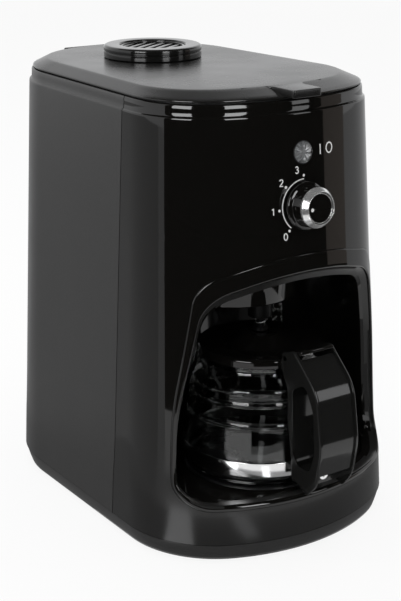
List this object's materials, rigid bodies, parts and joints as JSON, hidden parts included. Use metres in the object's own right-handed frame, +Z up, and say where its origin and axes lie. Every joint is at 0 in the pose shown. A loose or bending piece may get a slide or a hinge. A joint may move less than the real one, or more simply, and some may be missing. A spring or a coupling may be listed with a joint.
{
  "type": "grind and brew coffee maker",
  "caption": "Black grind and brew coffee maker: drafted two-shell body, arched bay with glass carafe, hinged lid with vented cap, selector knob and lit push button.",
  "frame": {"origin": "middle of the footprint on the worktop", "axes": "+Z up, -Y towards the front with the knob and the carafe handle, +X to the right seen from the front"},
  "size_m": [0.187, 0.2819, 0.2934],
  "materials": {
    "gloss_black": "high gloss black moulding",
    "satin_black": "fine satin black moulding",
    "inner_black": "black heat resistant moulding",
    "chrome": "bright chrome",
    "steel": "bare steel",
    "aluminium": "cast heater tube",
    "plate_black": "non-stick coating",
    "glass": "clear blown glass",
    "rubber": "moulded rubber",
    "seal": "silicone seal",
    "hose": "silicone hose",
    "white_print": "white print",
    "lens": "clear faceted lens",
    "tank": "translucent tank",
    "board": "circuit board",
    "parts": "moulded components"
  },
  "bodies": {
    "housing": {"base_pan": "satin_black", "rubber_feet": "rubber", "base_screws": "steel", "cord_gland": "rubber", "rear_housing": "satin_black", "front_housing": "gloss_black", "dial_print": "white_print", "bay_surround": "gloss_black", "bay_liner": "gloss_black", "deck_plate": "gloss_black", "warming_plate": "plate_black", "plate_seal": "rubber", "heating_tube": "aluminium", "thermostat": "steel", "water_tank": "tank", "check_valve": "hose", "inlet_hose": "hose", "riser_tube": "hose", "top_deck": "inner_black", "basket_well": "gloss_black", "motor_cover": "inner_black", "brew_basket": "inner_black", "filter_screen": "steel", "grinder_motor": "steel", "motor_pad": "rubber", "shaft_seal": "seal", "control_board": "board", "board_parts": "parts", "selector_switch": "parts", "button_guide": "inner_black", "button_switch": "parts", "hinge_pin": "steel"},
    "lid": {"lid": "satin_black", "lid_liner": "inner_black", "shower_head": "inner_black"},
    "vent_cap": {"vent_cap": "satin_black", "cap_grille": "satin_black", "cap_seal": "seal"},
    "selector_knob": {"knob_body": "gloss_black", "knob_ring": "chrome", "knob_pointer": "white_print", "switch_shaft": "steel"},
    "power_button": {"button_lens": "lens"},
    "carafe": {"carafe_glass": "glass", "carafe_band": "chrome", "carafe_handle": "gloss_black", "handle_screw": "chrome", "carafe_lid": "gloss_black", "carafe_pin": "steel"},
    "drip_stop": {"drip_valve": "inner_black", "valve_seal": "seal", "valve_spring": "steel"},
    "grinder_rotor": {"motor_shaft": "steel", "grinder_blade": "steel"}
  },
  "joints": [
    {"name": "lid_hinge", "type": "hinge", "parent": "housing", "child": "lid", "pos_m": [0, 0.1385, 0.2813], "axis": [-1, 0, 0], "range_deg": [0, 85]},
    {"name": "cap_lift", "type": "slide", "parent": "lid", "child": "vent_cap", "axis": [0, 0, 1], "range_m": [0, 0.025]},
    {"name": "knob_turn", "type": "hinge", "parent": "housing", "child": "selector_knob", "pos_m": [0, -0.10247, 0.216], "axis": [0, -0.9967, 0.0809], "range_deg": [-93.4, 46.7]},
    {"name": "button_press", "type": "slide", "parent": "housing", "child": "power_button", "axis": [0, 0.9967, -0.0809], "range_m": [0, 0.0015], "stiffness_N_per_m": 300, "springref_m": -0.002},
    {"name": "carafe_slide", "type": "slide", "parent": "housing", "child": "carafe", "axis": [0, -1, 0], "range_m": [0, 0.19]},
    {"name": "drip_drop", "type": "slide", "parent": "housing", "child": "drip_stop", "axis": [0, 0, -1], "range_m": [0, 0.0038], "deforming": ["valve_spring"]},
    {"name": "grinder_spin", "type": "hinge", "parent": "housing", "child": "grinder_rotor", "pos_m": [0, -0.032, 0.2], "axis": [0, 0, 1], "continuous": true}
  ],
  "couplings": [
    {"joint": "drip_drop", "follows": "carafe_slide", "ratio": 0.02}
  ]
}
